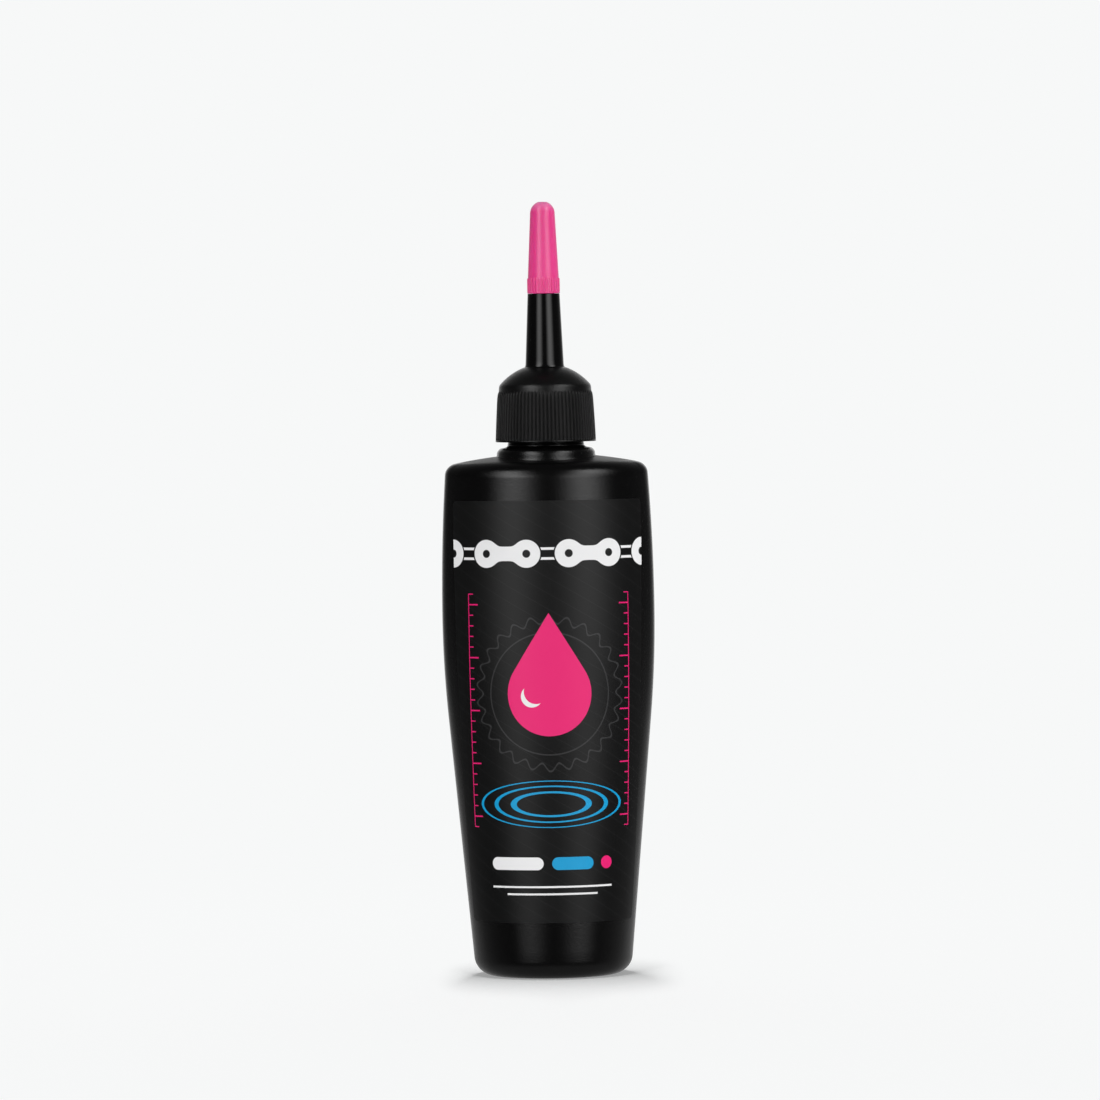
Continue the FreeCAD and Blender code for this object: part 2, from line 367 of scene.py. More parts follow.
black = new_finish("blown_black_polyethylene", bottle)
place = black.node("ShaderNodeTexCoord", out="Object")
x, y, z = axes(place)
grain = noise(place, 2600.0, 3.0, 0.6)
ripple = noise(place, 95.0, 2.0)
smear = noise(stretched(place, (60.0, 60.0, 14.0)), 1.0, 4.0, 0.62)
seam = (1 - abs(y) / (SEAM_HALF_WIDTH * MM)).clamp()
beside_collar = length(x, y) > (COLLAR_SIDE[1][0] + 0.05) * MM
on_crown = ((z - (SHOULDER_Z + 0.4) * MM) / (0.5 * MM)).clamp() * beside_collar
relief = bumped(grain, 0.05 * MM, 0.8)
relief = bumped(ripple, 0.05 * MM, 0.3, relief)
relief = bumped(seam, 0.05 * MM, 0.7, relief)
surface = black.node("ShaderNodeBsdfPrincipled", {}, {
    "Base Color": (smear * 0.7 + grain * 0.3).colour(BOTTLE_BLACK, BOTTLE_SMEARED_BLACK),
    "Roughness": 0.12 + smear * 0.06 + grain * 0.03 + on_crown * 0.22,
    "IOR": 1.5,
    "Normal": relief,
})
black.node("ShaderNodeOutputMaterial", {}, {"Surface": surface})
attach(bottle, "bottle")
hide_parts("bottle")

# Front label: a printed satin film with round corners, stuck on the front of the bottle. Its art is a run
# of chain, a drop of oil in a toothed ring and the rings it makes, in white, pink and blue on black.
LABEL_BOTTOM_Z = 13.4
LABEL_TOP_Z = 112.85
LABEL_HALF_ARC = 24.35
LABEL_SPREAD = 0.039
LABEL_CORNER = 1.3
LABEL_BACK = 0.03
LABEL_FACE = 0.15
PRINT_SCALE = 0.01
INK_EDGE = 0.09
PRINT_WHITE = (0.86, 0.86, 0.865)
PRINT_PINK = (0.84, 0.008, 0.17)
PRINT_BLUE = (0.0, 0.33, 0.64)
PRINT_GREY = (0.030, 0.030, 0.031)
PRINT_BLACK = (0.0024, 0.0024, 0.0025)


def wall_point(arc, z, proud):
    """A place on the wall at an arc length from the middle of the front, standing proud of it."""
    a, b = half_width(z), half_depth(z)
    front, side = oval_radii(a, b)
    turn = abs(arc) / front
    if turn > BLEND_ANGLE:
        turn = BLEND_ANGLE + (abs(arc) - front * BLEND_ANGLE) / side
    return (*oval_point(a + proud, b + proud, math.copysign(turn, arc)), z)


corner_steps = 8
corner = [LABEL_CORNER * (1 - math.cos(math.pi / 2 * i / corner_steps)) for i in range(corner_steps + 1)]
middle_rows = 60
heights = [LABEL_BOTTOM_Z + c for c in corner]
straight = LABEL_TOP_Z - LABEL_BOTTOM_Z - 2 * LABEL_CORNER
heights += [LABEL_BOTTOM_Z + LABEL_CORNER + straight * i / middle_rows for i in range(1, middle_rows)]
heights += [LABEL_TOP_Z - c for c in reversed(corner)]
columns = 80
points, prints = [], []
for proud in (LABEL_FACE, LABEL_BACK):
    for z in heights:
        share = (z - LABEL_BOTTOM_Z) / (LABEL_TOP_Z - LABEL_BOTTOM_Z)
        into_corner = max(0.0, LABEL_CORNER - min(z - LABEL_BOTTOM_Z, LABEL_TOP_Z - z))
        reach = LABEL_HALF_ARC * (1 + LABEL_SPREAD * (2 * share - 1))
        reach -= LABEL_CORNER - math.sqrt(max(0.0, LABEL_CORNER ** 2 - into_corner ** 2))
        for i in range(columns + 1):
            arc = reach * (2 * i / columns - 1)
            points.append([c * MM for c in wall_point(arc, z, proud)])
            prints.append((arc * PRINT_SCALE, (z - LABEL_BOTTOM_Z) * PRINT_SCALE))
wide, tall = columns + 1, len(heights)
sheet = wide * tall
faces = []
for k in range(tall - 1):
    for i in range(columns):
        quad = (k * wide + i, k * wide + i + 1, (k + 1) * wide + i + 1, (k + 1) * wide + i)
        faces += [quad, tuple(sheet + n for n in reversed(quad))]
rim = list(range(wide)) + [k * wide + columns for k in range(1, tall)]
rim += [(tall - 1) * wide + i for i in range(columns - 1, -1, -1)]
rim += [k * wide for k in range(tall - 2, 0, -1)]
for n, m in zip(rim, rim[1:] + rim[:1]):
    faces.append((n, sheet + n, sheet + m, m))
mesh = bpy.data.meshes.new("printed_label")
mesh.from_pydata(points, [], faces)
mesh.shade_smooth()
mesh.set_sharp_from_angle(angle=math.radians(40.0))
print_map = mesh.uv_layers.new(name="print")
for corner_of_face in mesh.loops:
    print_map.data[corner_of_face.index].uv = prints[corner_of_face.vertex_index]
label = bpy.data.objects.new("printed_label", mesh)
bpy.context.scene.collection.objects.link(label)

film = new_finish("printed_satin_film", label)
across, up, _ = axes(film.node("ShaderNodeUVMap", {"uv_map": "print"}))
across, up = across / PRINT_SCALE, up / PRINT_SCALE


def ink(distance):
    """Full inside a shape and none outside, from the distance to its edge in millimetres."""
    return (0.5 - distance / INK_EDGE).clamp()


def outlined(distance, width):
    return ink(abs(distance) - width / 2)


def box(x, y, half_x, half_y, corner=0.0):
    dx, dy = abs(x) - (half_x - corner), abs(y) - (half_y - corner)
    return length(dx.most(0.0), dy.most(0.0)) + dx.most(dy).least(0.0) - corner


LINK_PITCH = 10.0
CHAIN_UP = 87.0
PLATE_RADIUS = 3.3
PLATE_BLEND = 1.6
WAIST = 1.7
PIN_HOLE_RADIUS = 0.95
INNER_SHARE = 0.86
INNER_LINE = 0.6
LINK_GAP = 0.35
along = LINK_PITCH / 2 - across.math("PINGPONG", across, LINK_PITCH)
rise = up - CHAIN_UP
pin = length(along, rise)


def link(towards, share):
    """Distance to a link plate that reaches from the pin the given way, waisted in its middle."""
    end = pin - PLATE_RADIUS * share
    bar = (abs(rise) - WAIST * share).most(along * towards)
    return film.node("ShaderNodeMath", {"operation": "SMOOTH_MIN"}, {0: end, 1: bar, 2: PLATE_BLEND})


outer_link = link(1, 1.0)
chain = ink(outer_link) * (1 - ink(pin - PIN_HOLE_RADIUS))
inner_link = outlined(link(-1, INNER_SHARE) + INNER_LINE / 2, INNER_LINE) * (1 - ink(outer_link - LINK_GAP))

DROP_UP = 54.0
DROP_RADIUS = 10.0
DROP_TIP = 19.0
drop_rise = up - DROP_UP
bulb = length(across, drop_rise) - DROP_RADIUS
lean = math.asin(DROP_RADIUS / DROP_TIP)
flank = abs(across) * math.cos(lean) + (drop_rise - DROP_TIP) * math.sin(lean)
above = drop_rise > DROP_RADIUS * math.sin(lean)
drop = ink(bulb).most(ink(flank) * above)
glint = ink(length(across + 4.2, drop_rise + 0.6) - 2.6)
glint = glint * (1 - ink(length(across + 3.2, drop_rise - 0.5) - 2.9))

SPROCKET_RADIUS = 17.4
SPROCKET_INNER_RADIUS = 14.4
TEETH = 26
TOOTH_HEIGHT = 0.9
spread = length(across, drop_rise)
teeth = across.math("COSINE", across.math("ARCTAN2", across, drop_rise) * TEETH) * TOOTH_HEIGHT
sprocket = outlined(spread - teeth - SPROCKET_RADIUS, 0.45)
sprocket = sprocket.most(outlined(spread - SPROCKET_INNER_RADIUS, 0.3))

RING_UP = 28.0
RING_FLATTENING = 3.2
spread = length(across, (up - RING_UP) * RING_FLATTENING)
waves = outlined(spread - 9.0, 1.5).most(outlined(spread - 13.5, 1.1)).most(outlined(spread - 17.5, 0.7))

BAR_UP = 14.0
BAR_ROUND = 1.5
FINE_BAR = 0.22
white_bar = ink(box(across + 8.5, up - BAR_UP, 6.5, BAR_ROUND, BAR_ROUND))
blue_bar = ink(box(across - 5.0, up - BAR_UP, 5.0, BAR_ROUND, BAR_ROUND))
pink_bar = ink(box(across - 13.5, up - BAR_UP, BAR_ROUND, BAR_ROUND, BAR_ROUND))
fine_bars = ink(box(across, up - BAR_UP + 5.5, 15.0, FINE_BAR))
fine_bars = fine_bars.most(ink(box(across, up - BAR_UP + 7.2, 11.0, FINE_BAR)))

GAUGE_OUT = 20.2
GAUGE_UP = 50.0
GAUGE_HALF_HEIGHT = 27.6
tick = across.math("PINGPONG", up, 1.25)
long_tick = across.math("PINGPONG", up, 6.25)
reach_in = GAUGE_OUT - abs(across)
gauge = ink(tick - 0.13) * ink(abs(reach_in - 0.6) - 0.6)
gauge = gauge.most(ink(long_tick - 0.16) * ink(abs(reach_in - 1.3) - 1.3))
gauge = gauge.most(ink(abs(reach_in + 0.1) - 0.1))
gauge = gauge * (abs(up - GAUGE_UP) < GAUGE_HALF_HEIGHT)

HATCH_LEAN = math.radians(30.0)
hatch = across.math("PINGPONG", across * math.sin(HATCH_LEAN) + up * math.cos(HATCH_LEAN), 1.6)
colour = (ink(hatch - 0.05) * 0.35).colour(PRINT_BLACK, PRINT_GREY)
for shape, shade in (
        (sprocket, PRINT_GREY), (gauge, PRINT_PINK), (waves, PRINT_BLUE), (inner_link, PRINT_WHITE),
        (chain, PRINT_WHITE), (drop, PRINT_PINK), (glint, PRINT_WHITE), (white_bar, PRINT_WHITE),
        (blue_bar, PRINT_BLUE), (pink_bar, PRINT_PINK), (fine_bars, PRINT_WHITE)):
    colour = shape.colour(colour, shade)
place = film.node("ShaderNodeTexCoord", out="Object")
fibre = noise(place, 3800.0, 3.0, 0.6)
lift = noise(place, 70.0, 2.0)
surface = film.node("ShaderNodeBsdfPrincipled", {}, {
    "Base Color": colour,
    "Roughness": 0.35 + fibre * 0.05 + lift * 0.04,
    "IOR": 1.48,
    "Normal": bumped(lift, 0.05 * MM, 0.3, bumped(fibre, 0.01 * MM, 0.4)),
})
film.node("ShaderNodeOutputMaterial", {}, {"Surface": surface})
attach(label, "bottle")
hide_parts("front_label")

# Sealing washer: a ring stamped from white foam sheet, held loose in the screwed cap against the lip of the
# neck. Its edges are slightly rounded by the stamping.
WASHER_Z, WASHER_TOP_Z = (c.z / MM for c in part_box("sealing_washer"))
WASHER_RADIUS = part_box("sealing_washer")[1].x / MM
WASHER_EDGE = 0.15
FOAM_WHITE = (0.80, 0.80, 0.78)
FOAM_SHADE = (0.66, 0.66, 0.64)
profile = [(NECK_BORE_RADIUS, WASHER_Z + WASHER_EDGE), (NECK_BORE_RADIUS + WASHER_EDGE, WASHER_Z),
           (WASHER_RADIUS - WASHER_EDGE, WASHER_Z), (WASHER_RADIUS, WASHER_Z + WASHER_EDGE),
           (WASHER_RADIUS, WASHER_TOP_Z - WASHER_EDGE), (WASHER_RADIUS - WASHER_EDGE, WASHER_TOP_Z),
           (NECK_BORE_RADIUS + WASHER_EDGE, WASHER_TOP_Z), (NECK_BORE_RADIUS, WASHER_TOP_Z - WASHER_EDGE)]
washer = mould("foam_washer", [oval(r, r, z) for r, z in profile], loop=True)
foam = new_finish("white_foam_sheet", washer)
place = foam.node("ShaderNodeTexCoord", out="Object")
cells = foam.node("ShaderNodeTexVoronoi", {}, {"Vector": place, "Scale": 2600.0})
surface = foam.node("ShaderNodeBsdfPrincipled", {}, {
    "Base Color": cells.colour(FOAM_WHITE, FOAM_SHADE),
    "Roughness": 0.7 + cells * 0.2,
    "Normal": bumped(cells, 0.05 * MM, 0.5),
})
foam.node("ShaderNodeOutputMaterial", {}, {"Surface": surface})
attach(washer, "washer")
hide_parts("sealing_washer")

# Screwed cap and spout: one injection moulding in black polypropylene. The dome and the skirt, with its
# flat-topped grip ribs, have a fine satin texture, the spout is polished, and a spigot carries the push-on
# cap. A thread in its bore screws it onto the neck.
SKIRT_RAISED = 0.18
SKIRT_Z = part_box("spout_cap")[0].z / MM + SKIRT_RAISED
SPIGOT_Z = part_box("spout_cap")[1].z / MM
CAP_BORE_RADIUS = 10.1
BORE_CHAMFER = 0.25
SKIRT_RADIUS = 11.62
SKIRT_TOP_RADIUS = 10.98
SKIRT_BULGE = 0.05
SKIRT_HEIGHT = 12.12
SKIRT_TOP_Z = SKIRT_Z + SKIRT_HEIGHT
RIM_HEIGHT = 0.45
RIM_PROUD = 0.02
RIB_COUNT = 76
RIB_SHARE = 0.0245
RIB_FADE = 1.9
RIB_CREST = 0.27
RIB_FLANK = 0.1
RIB_GROOVE = 0.14
DOME_EDGE_WIDTH = 0.1
DOME_EDGE_HEIGHT = 1.2
DOME_HEIGHT = 5.53
DOME_Z = SKIRT_TOP_Z + DOME_HEIGHT
DOME_WALL = 1.4
SPOUT_RADIUS = 4.55
SPOUT_FLARE = 0.2
SPOUT_FLARE_HEIGHT = 0.6
SPOUT_TOP_RADIUS = 3.82
STEP_EDGE = 0.15
TIP_SEAT_GAP = 0.03
STEP_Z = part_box("tip_cap")[0].z / MM - TIP_SEAT_GAP
SPOUT_BORE_RADIUS = 2.3
SPIGOT_RADIUS = 2.4
SPIGOT_EDGE = 0.3
OUTLET_RADIUS = 1.1
OUTLET_EDGE = 0.12
WASHER_PLAY = 0.05
LAND_Z = WASHER_TOP_Z + WASHER_PLAY
FUNNEL_RADIUS = NECK_BORE_RADIUS - 0.3
CAP_THREAD_DEPTH = 0.75
CAP_THREAD_TURNS = 1.25
SATIN_BLACK = (0.0014, 0.0014, 0.0015)
SATIN_PALE_BLACK = (0.0032, 0.0032, 0.0033)
POLISHED_BLACK = (0.0015, 0.0015, 0.0016)
POLISHED_PALE_BLACK = (0.0028, 0.0028, 0.0029)


def ball(foot, head, steps):
    """Corners along the arc from foot to head whose centre lies on the axis."""
    centre = (foot[0] ** 2 - head[0] ** 2 + foot[1] ** 2 - head[1] ** 2) / (2 * (foot[1] - head[1]))
    radius = math.hypot(foot[0], foot[1] - centre)
    first, last = (math.atan2(p[1] - centre, p[0]) for p in (foot, head))
    return [(radius * math.cos(first + (last - first) * i / steps),
             centre + radius * math.sin(first + (last - first) * i / steps)) for i in range(steps + 1)]


def spin(turns, radius, z):
    """A ring through the given turns round the axis, whose radius is a number or changes with the turn."""
    ring = []
    for turn in turns:
        r = radius(turn) if callable(radius) else radius
        ring.append((r * math.sin(turn), -r * math.cos(turn), z))
    return ring


def rib_turns(count):
    """Turns through the corners and middles of a row of ribs, and of the grooves between them."""
    stations = (0.0, RIB_CREST, RIB_CREST + RIB_FLANK, 0.5, 1 - RIB_CREST - RIB_FLANK, 1 - RIB_CREST)
    return [math.tau * (i + share) / count for i in range(count) for share in stations]


def ribbed(root, crest, count, flat):
    """Ribs on a root radius; flat is half the width of their tops, as a share of their spacing."""
    def radius(turn):
        away = 0.5 - abs(turn * count / math.tau % 1 - 0.5)
        return crest + (root - crest) * min(1.0, max(0.0, (away - flat) / RIB_FLANK))
    return radius


cap_turns = rib_turns(RIB_COUNT)
rim_radius = SKIRT_RADIUS * (1 + RIB_SHARE) + RIM_PROUD
rib_foot_z, rib_top_z = SKIRT_Z + RIM_HEIGHT, SKIRT_TOP_Z - 0.25
rings = []
for r, z in ((CAP_BORE_RADIUS + BORE_CHAMFER, SKIRT_Z), (rim_radius - 0.12, SKIRT_Z),
             (rim_radius - 0.03, SKIRT_Z + 0.04), (rim_radius, SKIRT_Z + 0.12),
             (rim_radius, rib_foot_z - 0.16), (rim_radius - 0.06, rib_foot_z - 0.04)):
    rings.append(spin(cap_turns, r, z))
rib_steps = 26
for k in range(rib_steps + 1):
    z = rib_foot_z + (rib_top_z - rib_foot_z) * (k / rib_steps)
    share = (z - SKIRT_Z) / SKIRT_HEIGHT
    root = SKIRT_RADIUS + (SKIRT_TOP_RADIUS - SKIRT_RADIUS) * share
    root += SKIRT_BULGE * math.sin(math.pi * share)
    fade = min(1.0, (rib_top_z - z) / RIB_FADE)
    fade = math.sqrt(max(0.0, 1 - (1 - fade) ** 2))
    ribs = ribbed(root - RIB_GROOVE * fade, root * (1 + RIB_SHARE * fade), RIB_COUNT, RIB_CREST)
    rings.append(spin(cap_turns, ribs, z))
dome_foot = (SKIRT_TOP_RADIUS - DOME_EDGE_WIDTH, SKIRT_TOP_Z + DOME_EDGE_HEIGHT)
dome_head = (SPOUT_RADIUS + SPOUT_FLARE, DOME_Z)
dome = ball(dome_foot, dome_head, 18)
outline = [(SKIRT_TOP_RADIUS, SKIRT_TOP_Z)]
outline += bend((SKIRT_TOP_RADIUS - 0.06, dome_foot[1] - 0.4), dome_foot, dome[1], 7)
outline += dome[2:-1]
spout_foot_z, spout_head_z = DOME_Z + SPOUT_FLARE_HEIGHT, STEP_Z - STEP_EDGE
outline += bend((SPOUT_RADIUS + SPOUT_FLARE + 0.1, DOME_Z - 0.04), (SPOUT_RADIUS + 0.06, DOME_Z + 0.1),
                (SPOUT_RADIUS, spout_foot_z), 5)
spout_steps = 16
outline += [(SPOUT_RADIUS + (SPOUT_TOP_RADIUS - SPOUT_RADIUS) * k / spout_steps,
             spout_foot_z + (spout_head_z - spout_foot_z) * k / spout_steps)
            for k in range(1, spout_steps + 1)]
outline += bend((SPOUT_TOP_RADIUS, STEP_Z - 0.12), (SPOUT_TOP_RADIUS, STEP_Z),
                (SPOUT_TOP_RADIUS - STEP_EDGE, STEP_Z), 3)
outline += [(SPIGOT_RADIUS + 0.1, STEP_Z), (SPIGOT_RADIUS, STEP_Z + 0.1), (SPIGOT_RADIUS, SPIGOT_Z - 0.35)]
outline += bend((SPIGOT_RADIUS, SPIGOT_Z - SPIGOT_EDGE), (SPIGOT_RADIUS, SPIGOT_Z),
                (SPIGOT_RADIUS - SPIGOT_EDGE, SPIGOT_Z), 4)
outline += [(OUTLET_RADIUS + OUTLET_EDGE, SPIGOT_Z), (OUTLET_RADIUS, SPIGOT_Z - OUTLET_EDGE),
            (OUTLET_RADIUS, STEP_Z - DOME_WALL), (SPOUT_BORE_RADIUS, STEP_Z - DOME_WALL - 0.6),
            (SPOUT_BORE_RADIUS, DOME_Z - DOME_WALL * 0.35), (FUNNEL_RADIUS, dome_foot[1] + DOME_WALL * 0.75),
            (FUNNEL_RADIUS, LAND_Z), (CAP_BORE_RADIUS, LAND_Z)]
rings += [spin(cap_turns, r, z) for r, z in outline]
bore_steps = 50
for k in range(1, bore_steps):
    z = LAND_Z + (SKIRT_Z + BORE_CHAMFER - LAND_Z) * k / bore_steps
    rings.append(spin(cap_turns, lambda turn: CAP_BORE_RADIUS - CAP_THREAD_DEPTH * thread_share(
        turn, z, THREAD_FIRST_Z + THREAD_PITCH / 2, CAP_THREAD_TURNS), z))
cap = mould("spout_cap_moulding", rings, loop=True)

glossy = new_finish("black_polypropylene", cap)
place = glossy.node("ShaderNodeTexCoord", out="Object")
z = axes(place)[2]
spark = noise(place, 2600.0, 3.0, 0.65)
cloud = noise(place, 240.0, 3.0)
polish = ((z - (DOME_Z - 0.25) * MM) / (0.25 * MM)).clamp()
satin = bumped(spark, 0.06 * MM, 0.8)
flow = bumped(noise(stretched(place, (700.0, 700.0, 60.0)), 1.0), 0.01 * MM, 0.12)
rim = (((SKIRT_Z + RIM_HEIGHT) * MM - z) / (0.1 * MM)).clamp()
gripped = (((SKIRT_TOP_Z + 0.1) * MM - z) / (0.4 * MM)).clamp()
skirt_coat = glossy.node("ShaderNodeBsdfPrincipled", {}, {
    "Base Color": spark.colour(SATIN_BLACK, SATIN_PALE_BLACK),
    "Roughness": 0.40 - rim * 0.2 + cloud * 0.08,
    "IOR": 1.38,
    "Normal": satin,
})
dome_coat = glossy.node("ShaderNodeBsdfPrincipled", {}, {
    "Base Color": spark.colour(SATIN_BLACK, SATIN_PALE_BLACK),
    "Roughness": 0.28 + cloud * 0.06,
    "IOR": 1.49,
    "Normal": satin,
})
polished_coat = glossy.node("ShaderNodeBsdfPrincipled", {}, {
    "Base Color": cloud.colour(POLISHED_BLACK, POLISHED_PALE_BLACK),
    "Roughness": 0.09 + cloud * 0.06,
    "IOR": 1.49,
    "Normal": flow,
})
satin_coat = glossy.node("ShaderNodeMixShader", {}, {0: gripped, 1: dome_coat, 2: skirt_coat})
surface = glossy.node("ShaderNodeMixShader", {}, {0: polish, 1: satin_coat, 2: polished_coat})
glossy.node("ShaderNodeOutputMaterial", {}, {"Surface": surface})
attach(cap, "spout_cap")
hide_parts("spout_cap")

# Push-on cap: a soft pink polyethylene moulding that grips the spigot, with short ribs round its foot and
# faint rings on its side from the turned mould. Its head is painted a paler pink: painted light standing in
# for the glow of light scattered in the solid head and for its highlight.
TIP_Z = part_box("tip_cap")[0].z / MM
TIP_TOP_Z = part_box("tip_cap")[1].z / MM
TIP_FOOT_RADIUS = 3.7
TIP_HEAD_RADIUS = 2.95
TIP_FLAT_RADIUS = 1.0
TIP_BAND_HEIGHT = 3.7
TIP_RIB_COUNT = 28
TIP_RIB_SHARE = 0.045
TIP_RIB_FADE = 0.45
TIP_RIB_CREST = 0.18
TIP_LIP_HEIGHT = 0.4
TIP_CLEARANCE = 0.12
TIP_BORE_RADIUS = SPIGOT_RADIUS + TIP_CLEARANCE
TIP_HEAD_WALL = 1.6
TIP_INNER_Z = TIP_TOP_Z - TIP_HEAD_WALL
TIP_LINES_FROM = 4.0
TIP_LINES_TO = 11.5
TIP_PINK = (0.86, 0.062, 0.300)
TIP_DEEP_PINK = (0.80, 0.050, 0.255)
# Painted glow: a paler pink for the head that stands in for scattered light and a highlight, not a colour of
# the plastic.
TIP_PAINTED_GLOW_PINK = (0.88, 0.200, 0.440)

tip_steps = TIP_RIB_COUNT * 12
tip_turns = [math.tau * i / tip_steps for i in range(tip_steps)]
crest = TIP_FOOT_RADIUS * (1 + TIP_RIB_SHARE)
lip_z, band_z = TIP_Z + TIP_LIP_HEIGHT, TIP_Z + TIP_BAND_HEIGHT
head_z = TIP_TOP_Z - math.sqrt(TIP_HEAD_RADIUS ** 2 - TIP_FLAT_RADIUS ** 2)
rings = [spin(tip_turns, r, z) for r, z in (
    (0.1, TIP_INNER_Z), (TIP_BORE_RADIUS - 0.2, TIP_INNER_Z), (TIP_BORE_RADIUS, TIP_INNER_Z - 0.2),
    (TIP_BORE_RADIUS, TIP_Z + 0.15), (TIP_BORE_RADIUS + 0.12, TIP_Z), (crest - 0.15, TIP_Z),
    (crest - 0.03, TIP_Z + 0.04), (crest + 0.015, TIP_Z + 0.14), (crest + 0.015, lip_z - 0.12),
    (crest - 0.03, lip_z - 0.03))]
rib_steps = 16
for k in range(rib_steps + 1):
    z = lip_z + (band_z - lip_z) * k / rib_steps
    fade = min(1.0, max(0.0, (band_z - z) / TIP_RIB_FADE))
    top = TIP_FOOT_RADIUS + (crest - TIP_FOOT_RADIUS) * math.sqrt(max(0.0, 1 - (1 - fade) ** 2))
    rings.append(spin(tip_turns, ribbed(TIP_FOOT_RADIUS, top, TIP_RIB_COUNT, TIP_RIB_CREST), z))
side_steps = 36
rings += [spin(tip_turns, TIP_FOOT_RADIUS + (TIP_HEAD_RADIUS - TIP_FOOT_RADIUS) * k / side_steps,
               band_z + (head_z - band_z) * k / side_steps) for k in range(1, side_steps)]
head = ball((TIP_HEAD_RADIUS, head_z), (TIP_FLAT_RADIUS, TIP_TOP_Z), 16)
rings += [spin(tip_turns, r, z) for r, z in head]
rings += [spin(tip_turns, r, TIP_TOP_Z) for r in (0.6, 0.1)]
tip = mould("push_on_cap", rings)

pink = new_finish("soft_pink_polyethylene", tip)
place = pink.node("ShaderNodeTexCoord", out="Object")
z = axes(place)[2]
mottle = noise(place, 900.0, 4.0, 0.6)
fine = noise(place, 6000.0, 2.0)
turned = noise(stretched(place, (40.0, 40.0, 2600.0)), 1.0, 3.0, 0.7)
# Painted light: this mask turns the colour paler towards the solid head, standing in for scattered light and
# its highlight.
head_painted_glow = ((z - (TIP_INNER_Z - 0.6) * MM) / (1.6 * MM)).clamp()
lines = turned * ((z - (TIP_Z + TIP_LINES_FROM) * MM) / (1.0 * MM)).clamp()
lines = lines * (((TIP_Z + TIP_LINES_TO) * MM - z) / (2.0 * MM)).clamp()
surface = pink.node("ShaderNodeBsdfPrincipled", {}, {
    "Base Color": head_painted_glow.colour((mottle * 0.6 + lines * 0.5).colour(TIP_DEEP_PINK, TIP_PINK), TIP_PAINTED_GLOW_PINK),
    "Roughness": 0.26 + mottle * 0.08,
    "IOR": 1.5,
    "Coat Weight": 0.6,
    "Coat Roughness": 0.22,
    "Subsurface Weight": 0.3,
    "Subsurface Radius": (1.0, 0.2, 0.45),
    "Subsurface Scale": 0.7 * MM,
    "Normal": bumped(lines, 0.06 * MM, 0.6, bumped(fine, 0.015 * MM, 0.4)),
})
pink.node("ShaderNodeOutputMaterial", {}, {"Surface": surface})
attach(tip, "tip_cap")
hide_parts("tip_cap")

# Stage: a plain pale floor that runs into a matching background. Reflections pass the floor by and see the
# room instead: dark in front, pale behind and grey below, as the black gloss shows it.
PALE = (0.930, 0.939, 0.939)
FLOOR_SIZE = 12.0
FLOOR_GREY = 0.8
FLOOR_GLOW = 0.335
FADE_START = 0.13
FADE_LENGTH = 0.25
RIGHT_SIDE_GAIN = 0.18
GREY_BELOW = 0.2
floor_mesh = bpy.data.meshes.new("floor")
floor_mesh.from_pydata([(-FLOOR_SIZE, -FLOOR_SIZE, 0), (FLOOR_SIZE, -FLOOR_SIZE, 0),
                        (FLOOR_SIZE, FLOOR_SIZE, 0), (-FLOOR_SIZE, FLOOR_SIZE, 0)], [], [(0, 1, 2, 3)])
floor = bpy.data.objects.new("floor", floor_mesh)
bpy.context.scene.collection.objects.link(floor)
floor.visible_glossy = False
table_top = new_finish("pale_floor", floor)
x, y, _ = axes(table_top.node("ShaderNodeTexCoord", out="Object"))
seen = table_top.node("ShaderNodeLightPath", out="Is Camera Ray")
through = table_top.node("ShaderNodeLightPath", out="Is Transmission Ray")
direct = seen.most(through)
matt = table_top.node("ShaderNodeBsdfDiffuse", {}, {"Color": (*[FLOOR_GREY * c for c in PALE], 1.0)})
glow = table_top.node("ShaderNodeEmission", {}, {"Color": (*PALE, 1.0), "Strength": direct * FLOOR_GLOW})
far = table_top.node("ShaderNodeEmission", {}, {"Color": (*PALE, 1.0), "Strength": direct})
surface = table_top.node("ShaderNodeMixShader", {}, {
    0: ((length(x, y) - FADE_START) / FADE_LENGTH).clamp(),
    1: table_top.node("ShaderNodeAddShader", {}, {0: matt, 1: glow}),
    2: far,
})
table_top.node("ShaderNodeOutputMaterial", {}, {"Surface": surface})

world = bpy.data.worlds.new("studio")
world.use_nodes = True
world.node_tree.nodes.clear()
bpy.context.scene.world = world
room = Socket(world.node_tree)
seen = room.node("ShaderNodeLightPath", out="Is Camera Ray")
through = room.node("ShaderNodeLightPath", out="Is Transmission Ray")
to_right, to_back, to_top = axes(room.node("ShaderNodeTexCoord", out="Generated"))


def round_the_room(*stops):
    """Brightness from the front of the room, at 0, to its back, at 1; the right side is brighter."""
    greys = [(at, (level,) * 3) for at, level in stops]
    ring = room.node("ShaderNodeValToRGB", {"stops": greys}, {0: to_back * 0.5 + 0.5})
    return ring * (1 + to_right * RIGHT_SIDE_GAIN)


walls = round_the_room((0.0, 0.03), (0.5, 0.03), (0.61, 0.04), (0.73, 0.07), (0.86, 0.18), (0.905, 0.28),
                       (0.975, 0.93))
table = round_the_room((0.0, 0.045), (0.25, 0.05), (0.37, 0.08), (0.52, 0.14), (0.65, 0.2), (0.74, 0.27),
                       (0.84, 0.325))
below = ((to_top + 0.01) / -0.12).clamp()
under = ((to_top + 0.3) / -0.3).clamp()
bounce = walls + (table - walls) * below
bounce = bounce + (GREY_BELOW - bounce) * under
backdrop = seen.most(through).colour(bounce.colour((0.0, 0.0, 0.0), (1.0, 1.0, 1.0)), PALE)
surface = room.node("ShaderNodeBackground", {}, {"Color": backdrop, "Strength": 1.0})
room.node("ShaderNodeOutputWorld", {}, {"Surface": surface})

